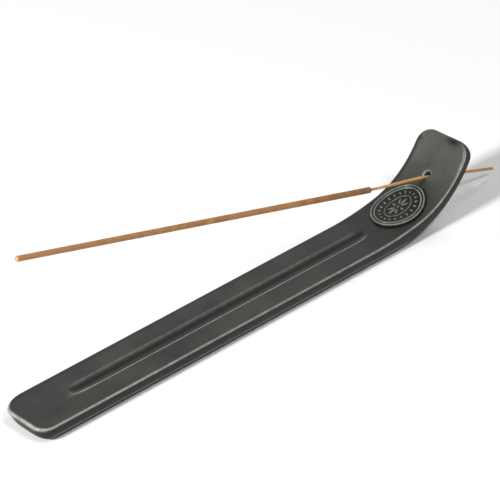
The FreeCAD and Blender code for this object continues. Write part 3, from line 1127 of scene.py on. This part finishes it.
        # Painted shade on the wall, arris, bevel and heel, less at both ends.
        shade_left = wear_and_light.wall_left(line.at_lip, line.at_front)
        patches = [Patch(points[:, 1:], {Mark.POOL_AND_SHADE: row_shade * shade_left, Mark.EDGE_AND_HIGHLIGHT: edge_and_highlight})
                   for points, row_shade, edge_and_highlight in rows]
        fractions = np.linspace(1.0, 0.0, self.under_columns)[None, 1:]
        under_middle = self.under_place(line.middle)
        side = line.gap + (inner_side - line.gap) * fractions
        low = self.under.lifted(under_middle + (inner_along - under_middle) * fractions, side, 0.0)
        bare = 1.0 - soft_step(low[:, :, 2], *wear_and_light.bare_height)
        bare = bare * soft_step(line.side - side, *wear_and_light.bare_inset)
        return [*patches, Patch(low, {Mark.BARE: bare})]

    def bore(self, half: Half, line: Outline, upper: np.ndarray, lower: np.ndarray) -> list[Patch]:
        """Half of the hole's wall with both rounded mouths.

        Args:
            half: Half of the tray.
            line: Its outline.
            upper: Innermost point of each section on the top.
            lower: Innermost point of each section on the underside.

        Returns:
            The grids, from the upper mouth to the lower one.
        """
        off = line.along[:, 0] - self.hole_along
        reach = np.abs(off) <= self.hole_reach + TINY
        local = off[reach] / self.hole_reach
        across = np.outer(np.sqrt(np.clip(1 - local ** 2, 0.0, None)), (0.0, 1.0, 0.0))
        way = np.array([math.cos(self.hole_slope), 0.0, -math.sin(self.hole_slope)])
        up = np.array([math.sin(self.hole_slope), 0.0, math.cos(self.hole_slope)])
        tangent = np.array([math.cos(self.hole_place), 0.0, math.sin(self.hole_place)])
        ring_way = local[:, None] * up + across
        ring = self.hole_mouth + self.hole_diameter / 2 * ring_way
        upper, lower = upper[reach], lower[reach]
        deep, bend = self.mouth_depth * self.hole_lip, self.mouth_bend * self.hole_lip
        start = ring + (((upper - self.hole_mouth) @ way) + deep)[:, None] * way
        end = ring + (((lower - self.hole_mouth) @ way) - deep)[:, None] * way
        outward = local[:, None] * tangent + across
        first = bezier([upper, upper - outward * bend, start - way * bend, start], self.mouth_columns)
        last = bezier([end, end + way * bend, lower - ring_way * bend, lower], self.mouth_columns)
        wear_and_light = self.wear_and_light
        # Pale mouth of the hole, stronger on its low side, partly a painted highlight; painted shade inside
        # the bore.
        low_side = soft_step(-local, *wear_and_light.mouth_span)[:, None]
        round_in = np.sin(np.linspace(wear_and_light.mouth_start, math.pi, self.mouth_columns))[None, :]
        edge_and_highlight = half.ring_break_and_highlight * round_in * (wear_and_light.mouth_break_and_highlight[0] + wear_and_light.mouth_break_and_highlight[1] * low_side)
        return [Patch(first, {Mark.EDGE_AND_HIGHLIGHT: np.clip(edge_and_highlight, 0.0, 1.0)}),
                Patch(bezier([start, end], self.bore_columns)[:, 1:-1], {Mark.POOL_AND_SHADE: wear_and_light.bore_shade}),
                Patch(last, {})]

    def sections(self, half: Half) -> tuple[Patch, Patch]:
        """Half of the tray as a grid of section lines, and the half bore of the hole.

        Args:
            half: Half of the tray.

        Returns:
            The half tray and the half bore.
        """
        line = self.outline(half)
        top, rim = self.top_face(half, line), self.rim(half, line)
        below = self.lower_part(half, line, rim.points[:, -1])
        bore = self.bore(half, line, top.points[:, 0], below[-1].points[:, -1])
        return (Patch.joined([top, rim, *below], half.way, half.way < 0.0),
                Patch.joined(bore, half.way, half.way > 0.0))

    def build(self) -> list[bpy.types.Object]:
        """Build the tray from the section lines of its two halves.

        Returns:
            The tray.
        """
        patches = [patch for half in (self.far, self.near) for patch in self.sections(half)]
        faces = []
        start = 0
        for patch in patches:
            rows, columns = patch.points.shape[:2]
            faces += grid_faces(rows, columns, start, patch.flip)
            start += rows * columns
        points = np.concatenate([patch.points.reshape(-1, 3) for patch in patches])
        marks = {mark: np.concatenate([patch.marks[mark].reshape(-1) for patch in patches])
                 for mark in GLAZE_MARKS}
        # A dark, rougher patch near the near corner of the lip.
        setback, dark_patch_side = self.wear_and_light.dark_patch_place
        dark_patch_at = self.top.lifted(np.array([self.top.length - setback]), np.array([dark_patch_side]), 0.0)[0]
        off = (points - dark_patch_at) / np.array(self.wear_and_light.dark_patch_size)
        marks[Mark.DARK_PATCH] = np.exp(-np.sum(off ** 2, axis=1))
        piece = make_piece("glazed_tray", points, faces, marks)
        self.make_uneven(piece)
        return [piece]

    def make_uneven(self, piece: bpy.types.Object) -> None:
        """Give the surface the slight unevenness of hand-finished clay, except near the table.

        Args:
            piece: The tray.
        """
        mesh = piece.data
        points, normals = (np.empty(len(mesh.vertices) * 3) for _ in range(2))
        mesh.vertices.foreach_get("co", points)
        mesh.vertices.foreach_get("normal", normals)
        points, normals = points.reshape(-1, 3), normals.reshape(-1, 3)
        wavy = sum(share * waviness(points, length, seed) for share, length, seed in self.waves)
        lift = np.minimum(self.unevenness * wavy, 0.0) * soft_step(points[:, 2], *self.level_span)
        mesh.vertices.foreach_set("co", (points + normals * lift[:, None]).reshape(-1))
        mesh.update()

    def dress(self, pieces: Sequence[bpy.types.Object]) -> None:
        """Glaze the tray and tie it to the burner."""
        dress_piece(pieces[0], self.finish, Body.BURNER, "tray")


@dataclass
class Medallion:
    """Oval sprig on the start of the bend: two rims, a barred border, a ring and a rosette.

    A crest is the share of a ridge's width from its line to its foot. The skirt's pairs are heights above
    the tray and flares past the oval.
    """

    tray: Tray
    height: float = 1.3 * MM
    field_height: float = 0.9 * MM
    outer_rim: float = 0.7 * MM
    outer_crest: float = 0.62
    rim_gap: float = 0.75 * MM
    inner_rim: float = 0.6 * MM
    inner_crest: float = 0.65
    bar_count: int = 20
    bar_length: float = 1.9 * MM
    bar_width: float = 0.8 * MM
    ring_width: float = 0.45 * MM
    ring_crest: float = 0.7
    ring_height: float = 0.85
    ring_gap: float = 0.7 * MM
    rosette_length: float = 12.8 * MM
    rosette_width: float = 6.8 * MM
    petal_count: int = 8
    petal_width: float = 1.3 * MM
    eye: float = 1.1 * MM
    bead_share: float = 0.6
    bead_height: float = 1.1
    ridge_blunt: float = 0.6
    lobe_blunt: float = 0.55
    edge_round: float = 0.45 * MM
    skirt: tuple[Span, ...] = ((0.62 * MM, 0.0), (0.4 * MM, 0.0), (0.22 * MM, 0.01 * MM),
                               (0.1 * MM, 0.03 * MM), (0.0, 0.08 * MM), (-0.06 * MM, 0.10 * MM))
    worn_from: float = 0.4
    field_pool_and_shade: float = 0.85
    skirt_shade: float = 0.95
    around_count: int = 481
    ring_count: int = 112
    ring_spread: float = 0.9
    finish: Glaze = Glaze(name="sprig_glaze", gloss=(0.24, 0.36))

    def ridge(self, off: np.ndarray, half: float) -> np.ndarray:
        """Rounded ridge: 1 on its line, 0 at half its width."""
        return np.clip(1.0 - (off / half) ** 2, 0.0, 1.0) ** self.ridge_blunt

    def lobe(self, x: np.ndarray, y: np.ndarray, at: Span, way: float, size: Span) -> np.ndarray:
        """Rounded bar or petal.

        Args:
            x: Distances along the tray from the middle.
            y: Distances across it.
            at: Middle of the lobe.
            way: Direction of its length.
            size: Length and width of the lobe.

        Returns:
            1 on its crest, 0 at its edge and beyond.
        """
        u = (x - at[0]) * math.cos(way) + (y - at[1]) * math.sin(way)
        w = (y - at[1]) * math.cos(way) - (x - at[0]) * math.sin(way)
        off = (2 * u / size[0]) ** 2 + (2 * w / size[1]) ** 2
        return np.clip(1.0 - off, 0.0, 1.0) ** self.lobe_blunt

    def relief(self, x: np.ndarray, y: np.ndarray) -> np.ndarray:
        """Raised ornament, 0 on the field and 1 on the crests.

        Args:
            x: Distances along the tray from the middle.
            y: Distances across it.

        Returns:
            Relief at each place.
        """
        outer = self.tray.seat.inside(self.outer_rim / 2)
        inner = self.tray.seat.inside(self.outer_rim + self.rim_gap + self.inner_rim / 2)
        ring = Oval(self.rosette_length, self.rosette_width).inside(-self.ring_gap - self.ring_width / 2)
        bead = np.hypot(x, y) / (self.bead_share * self.eye)
        found = [self.ridge(outer.distance(x, y), self.outer_crest * self.outer_rim),
                 self.ridge(inner.distance(x, y), self.inner_crest * self.inner_rim),
                 self.ring_height * self.ridge(ring.distance(x, y), self.ring_crest * self.ring_width),
                 self.bead_height * np.sqrt(np.clip(1.0 - bead ** 2, 0.0, 1.0))]
        field_edge = inner.inside(self.inner_rim / 2)
        border = (field_edge.length + ring.length + self.ring_width) / 4
        border_side = (field_edge.width + ring.width + self.ring_width) / 4
        for index in range(self.bar_count):
            turn = 2 * math.pi * (index + 0.5) / self.bar_count
            at = (border * math.cos(turn), border_side * math.sin(turn))
            way = math.atan2(border * math.sin(turn), border_side * math.cos(turn))
            found.append(self.lobe(x, y, at, way, (self.bar_length, self.bar_width)))
        for index in range(self.petal_count):
            turn = 2 * math.pi * index / self.petal_count
            tip = (self.rosette_length / 2 * math.cos(turn), self.rosette_width / 2 * math.sin(turn))
            size = math.hypot(*tip)
            share = (1 + self.eye / size) / 2
            found.append(self.lobe(x, y, (tip[0] * share, tip[1] * share), math.atan2(tip[1], tip[0]),
                                   (size - self.eye, self.petal_width)))
        return np.maximum.reduce(found)

    def build(self) -> list[bpy.types.Object]:
        """Build the medallion as a fine oval net bent to the tray's top.

        Returns:
            The medallion.
        """
        around = np.linspace(0.0, 2 * math.pi, self.around_count)
        rings = np.linspace(0.0, 1.0, self.ring_count) ** self.ring_spread
        seat = self.tray.seat
        x = np.outer(rings, np.cos(around)) * seat.length / 2
        y = np.outer(rings, np.sin(around)) * seat.width / 2
        raised = self.relief(x, y)
        drop = np.clip(1.0 + seat.distance(x, y) / self.edge_round, 0.0, 1.0)
        drop[0] = 0.0
        lift = self.field_height + (self.height - self.field_height) * raised
        lift = lift - self.edge_round * (1.0 - np.sqrt(np.clip(1.0 - drop ** 2, 0.0, 1.0)))
        skirt, flare = (np.array(values)[:, None] for values in zip(*self.skirt))
        skirt_x = np.cos(around)[None, :] * (seat.length / 2 + flare)
        skirt_y = np.sin(around)[None, :] * (seat.width / 2 + flare)
        x, y = np.vstack([x, skirt_x]), np.vstack([y, skirt_y])
        lift = np.vstack([lift, skirt + 0.0 * skirt_x])
        # Pooled glaze with painted shade on the field between the ornament, and painted shade on the skirt
        # at its foot.
        pool_and_shade = np.vstack([self.field_pool_and_shade * (1.0 - raised), np.full_like(skirt_x, self.skirt_shade)])
        middle = self.tray.seat_along
        points = self.tray.top.lifted(middle + x, y, lift).reshape(-1, 3)
        base = self.tray.top.lifted(np.array([middle]), np.zeros(1), self.skirt[-1][0])
        rows, columns = x.shape
        hub, last = len(points), (rows - 1) * columns
        faces = grid_faces(rows, columns)
        faces += [(last + index + 1, last + index, hub) for index in range(columns - 1)]
        marks = {mark: np.zeros(hub + 1) for mark in GLAZE_MARKS}
        # Pale crests, partly painted highlights.
        marks[Mark.EDGE_AND_HIGHLIGHT][:raised.size] = np.clip(raised - self.worn_from, 0.0, 1.0).reshape(-1)
        marks[Mark.POOL_AND_SHADE][:hub] = pool_and_shade.reshape(-1)
        return [make_piece("oval_medallion", np.vstack([points, base]), faces, marks)]

    def dress(self, pieces: Sequence[bpy.types.Object]) -> None:
        """Glaze the medallion and tie it to the burner."""
        dress_piece(pieces[0], self.finish, Body.BURNER, "medallion")


@dataclass
class IncenseStick:
    """Bamboo splint through the hole, with a paste coat on its front part.

    The hole's middle and the splint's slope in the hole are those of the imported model. Marks along the
    stick count in the mark unit. Rows are rings of the net; bare and hidden rows have a start, an end and a
    count. A facet is its depth, the number of its waves around the splint and their turn. Fibres, lumps and
    grains have a depth or share, a ring and a length of their waves.
    """

    hole_middle: Span = (136.271 * MM, 17.604 * MM)
    slope_in_hole: float = 17.829 * DEG
    core_diameter: float = 1.3 * MM
    tail_length: float = 43.0 * MM
    straight_ahead: float = 3.0 * MM
    sag_length: float = 6.0 * MM
    sag_angle: float = 4.9 * DEG
    bare_ahead: float = 21.0 * MM
    rise_length: float = 9.0 * MM
    rise_angle: float = 2.2 * DEG
    coat_length: float = 198.0 * MM
    tip_diameter: float = 2.35 * MM
    base_diameter: float = 2.65 * MM
    coat_round: float = 0.35 * MM
    mark_unit: float = 40.0 * MM
    core_sides: int = 28
    tail_rows: tuple[float, ...] = (0.0, 0.06 * MM, 0.2 * MM)
    bare_rows: tuple[float, float, int] = (0.5 * MM, 2.0 * MM, 130)
    hidden_rows: tuple[float, float, int] = (3.0 * MM, -2.0 * MM, 40)
    tip_rows: Span = (-0.05 * MM, 0.02 * MM)
    facets: tuple[tuple[float, int, float], ...] = ((0.035, 3, 0.6), (0.02, 7, 0.0))
    fibres: tuple[float, float, float] = (0.025, 2.2, 9.0 * MM)
    cut_ends: tuple[tuple[int, float], ...] = ((0, 0.82), (1, 0.95), (-1, 0.9))
    coat_sides: int = 40
    end_rows: int = 7
    coat_row_start: float = 0.4 * MM
    coat_row_gap: float = 0.45 * MM
    skin_depth: float = 0.045 * MM
    skin_level: float = -0.5
    lumps: tuple[float, float, float] = (0.5, 1.0, 11.0 * MM)
    grains: tuple[float, float, float] = (0.4, 3.4, 0.8 * MM)
    rolled: Span = (0.1, 2.6 * MM)
    paste: Paste = Paste()
    bamboo: Bamboo = Bamboo()

    def __post_init__(self) -> None:
        """Work out the stick's line from its tail to its tip."""
        x = self.hole_middle[0] + self.tail_length * math.cos(self.slope_in_hole)
        z = self.hole_middle[1] - self.tail_length * math.sin(self.slope_in_hole)
        self.line = BentLine((x, z), math.pi - self.slope_in_hole, (
            (self.tail_length + self.straight_ahead, 0.0), (self.sag_length, self.sag_angle),
            (self.bare_ahead, 0.0), (self.rise_length, -self.rise_angle), (self.coat_length, 0.0)))
        self.coat_start = self.line.length - self.coat_length

    def tube(self, name: str, along: np.ndarray, radius: np.ndarray) -> bpy.types.Object:
        """Closed round bar along the stick's line.

        Args:
            name: Name of the piece.
            along: Distance of each ring from the tail.
            radius: Radius at each ring and side, shape (rings, sides).

        Returns:
            The bar, with marks for the places along and around it.
        """
        rows, sides = radius.shape
        turn = np.linspace(0.0, 2 * math.pi, sides + 1)[None, :]
        radius = np.hstack([radius, radius[:, :1]])
        points = self.line.lifted(np.repeat(along[:, None], sides + 1, axis=1), radius * np.sin(turn),
                                  radius * np.cos(turn))
        ends = self.line.lifted(along[[0, -1]], np.zeros(2), 0.0)
        first, last = rows * (sides + 1), (rows - 1) * (sides + 1)
        faces = grid_faces(rows, sides + 1)
        faces += [(index, index + 1, first) for index in range(sides)]
        faces += [(last + index + 1, last + index, first + 1) for index in range(sides)]
        around = np.abs(np.broadcast_to(turn / math.pi - 1, radius.shape)).reshape(-1)
        marks = {Mark.ALONG: np.append(np.repeat(along, sides + 1), along[[0, -1]]) / self.mark_unit,
                 Mark.AROUND: np.append(around, (0.5, 0.5))}
        return make_piece(name, np.vstack([points.reshape(-1, 3), ends]), faces, marks)

    def build_core(self) -> bpy.types.Object:
        """Build the splint: nearly round, with flat facets and fine fibres.

        Returns:
            The splint.
        """
        end = self.line.length
        first, past, count = self.bare_rows
        under, short, hidden = self.hidden_rows
        along = np.concatenate([
            self.tail_rows, np.linspace(first, self.coat_start + past, count),
            np.linspace(self.coat_start + under, end + short, hidden), end + np.array(self.tip_rows)])
        turn = np.linspace(0.0, 2 * math.pi, self.core_sides, endpoint=False)
        facet = 1.0 - sum(depth * (1 + np.cos(waves * turn + shift)) for depth, waves, shift in self.facets)
        depth, ring, length = self.fibres
        rough = depth * rod_waviness(along, turn, ring, length)
        radius = self.core_diameter / 2 * np.clip(facet[None, :] + rough, 0.0, 1.0)
        for row, share in self.cut_ends:
            radius[row] *= share
        return self.tube("bamboo_splint", along, radius)

    def build_coat(self) -> bpy.types.Object:
        """Build the coat: rolled paste with a grainy skin and rounded ends.

        Returns:
            The coat.
        """
        curve = self.coat_round * (1 - np.cos(np.linspace(0.0, math.pi / 2, self.end_rows)))
        body = np.arange(self.coat_round + self.coat_row_start, self.coat_length - self.coat_round,
                         self.coat_row_gap)
        out = np.concatenate([curve, body, self.coat_length - curve[::-1]])
        along = self.coat_start + out
        turn = np.linspace(0.0, 2 * math.pi, self.coat_sides, endpoint=False)
        full = np.interp(out, [0.0, self.coat_length], [self.base_diameter / 2, self.tip_diameter / 2])
        near_end = np.minimum(np.minimum(out, self.coat_length - out) / self.coat_round, 1.0)
        drop = self.coat_round * (1.0 - np.sqrt(np.clip(1.0 - (1.0 - near_end) ** 2, 0.0, 1.0)))
        skin = self.skin_level + self.rolled[0] * np.sin(2 * turn + along[:, None] / self.rolled[1])
        for share, ring, length in (self.lumps, self.grains):
            skin = skin + share * rod_waviness(along, turn, ring, length)
        return self.tube("paste_coat", along, (full - drop)[:, None] + self.skin_depth * skin)

    def build(self) -> list[bpy.types.Object]:
        """Build the splint and the coat."""
        return [self.build_core(), self.build_coat()]

    def dress(self, pieces: Sequence[bpy.types.Object]) -> None:
        """Finish the splint and the coat and tie both to the stick."""
        core, coat = pieces
        dress_piece(core, self.bamboo, Body.STICK, "bamboo_core")
        dress_piece(coat, self.paste, Body.STICK, "incense_coat")


@dataclass(frozen=True)
class Lamp:
    """Soft square lamp; its power is in watts, and it may be kept out of reflections."""

    name: str
    place: tuple[float, float, float]
    size: float
    power: float
    mirrored: bool = True


@dataclass
class Studio:
    """Pale floor, soft lights and the camera at the photograph's viewing angle."""

    target: tuple[float, float, float] = (27.83 * MM, -0.45 * MM, 28.92 * MM)
    azimuth: float = -44.397 * DEG
    elevation: float = 32.595 * DEG
    distance: float = 1.160
    focal_px: float = 2873.04
    image_px: float = 500.0
    sensor_mm: float = 36.0
    floor_size: float = 6.0
    floor_colour: Colour = (0.86, 0.86, 0.86)
    floor_glow: float = 0.055
    sky_level: float = 0.195
    lamps: tuple[Lamp, ...] = (
        Lamp("end_softbox", (-2.26, 0.0, 1.25), 0.36, 90.0),
        Lamp("front_softbox", (0.06, -1.30, 2.05), 0.43, 15.0),
        Lamp("rear_softbox", (1.62, 0.50, 2.00), 0.90, 12.5, mirrored=False))

    def build(self) -> None:
        """Build the floor, the lights, the surroundings and the camera."""
        self.floor()
        self.surroundings()
        for lamp in self.lamps:
            self.hang(lamp)
        self.camera()
        bpy.context.scene.view_settings.view_transform = "Standard"

    def floor(self) -> None:
        """Build the floor, which shows white where the light reaches it and keeps shadows."""
        mesh = bpy.data.meshes.new("floor")
        half = self.floor_size / 2
        corners = [(x * half, y * half, 0.0) for x, y in ((-1, -1), (1, -1), (1, 1), (-1, 1))]
        mesh.from_pydata(corners, [], [(0, 1, 2, 3)])
        floor = bpy.data.objects.new("floor", mesh)
        bpy.context.scene.collection.objects.link(floor)
        recipe = Recipe("pale_floor")
        recipe.tree.nodes.remove(recipe.surface)
        seen = recipe.node("ShaderNodeLightPath", {}).outputs["Is Camera Ray"]
        strength = recipe.maths("MULTIPLY", seen, self.floor_glow)
        glow = recipe.node("ShaderNodeEmission", {"Strength": strength})
        matt = recipe.node("ShaderNodeBsdfDiffuse", {"Color": self.floor_colour})
        both = recipe.node("ShaderNodeAddShader", {0: matt.outputs[0], 1: glow.outputs[0]})
        recipe.feed(recipe.tree.nodes["Material Output"].inputs["Surface"], both.outputs[0])
        mesh.materials.append(recipe.material)

    def surroundings(self) -> None:
        """Light all round softly, and show white to the camera and in reflections."""
        world = bpy.data.worlds.new("white_room")
        bpy.context.scene.world = world
        world.use_nodes = True
        nodes = Nodes(world.node_tree)
        path = nodes.node("ShaderNodeLightPath", {})
        seen = path.outputs["Is Camera Ray"]
        for name in ("Is Glossy Ray", "Is Transmission Ray"):
            seen = nodes.maths("MAXIMUM", seen, path.outputs[name])
        back = nodes.tree.nodes["Background"]
        nodes.feed(back.inputs["Color"], (1.0, 1.0, 1.0))
        nodes.feed(back.inputs["Strength"], nodes.span(seen, (0.0, 1.0), (self.sky_level, 1.0)))

    def hang(self, lamp: Lamp) -> None:
        """Hang one soft lamp that faces the object.

        Args:
            lamp: The lamp.
        """
        light = bpy.data.lights.new(lamp.name, "AREA")
        light.shape = "SQUARE"
        light.size = lamp.size
        light.energy = lamp.power
        hung = bpy.data.objects.new(lamp.name, light)
        hung.location = lamp.place
        hung.visible_glossy = lamp.mirrored
        aim = Vector(self.target) - Vector(lamp.place)
        hung.rotation_euler = aim.to_track_quat("-Z", "Y").to_euler()
        bpy.context.scene.collection.objects.link(hung)

    def camera(self) -> None:
        """Set the camera up."""
        lens = bpy.data.cameras.new("camera")
        lens.sensor_width = self.sensor_mm
        lens.lens = self.focal_px * self.sensor_mm / self.image_px
        eye = bpy.data.objects.new("camera", lens)
        flat = math.cos(self.elevation)
        way = Vector((math.sin(self.azimuth) * flat, -math.cos(self.azimuth) * flat,
                      math.sin(self.elevation)))
        eye.location = Vector(self.target) + way * self.distance
        eye.rotation_euler = (-way).to_track_quat("-Z", "Y").to_euler()
        bpy.context.scene.collection.objects.link(eye)
        bpy.context.scene.camera = eye


def main() -> None:
    """Build and dress every piece, then set up the studio."""
    logging.basicConfig(level=logging.INFO, format="%(name)s: %(message)s")
    tray = Tray()
    for assembly in (tray, Medallion(tray), IncenseStick()):
        pieces = assembly.build()
        assembly.dress(pieces)
        for piece in pieces:
            LOG.info("%s: %d faces", piece.name, len(piece.data.polygons))
    Studio().build()


if __name__ == "__main__":
    main()
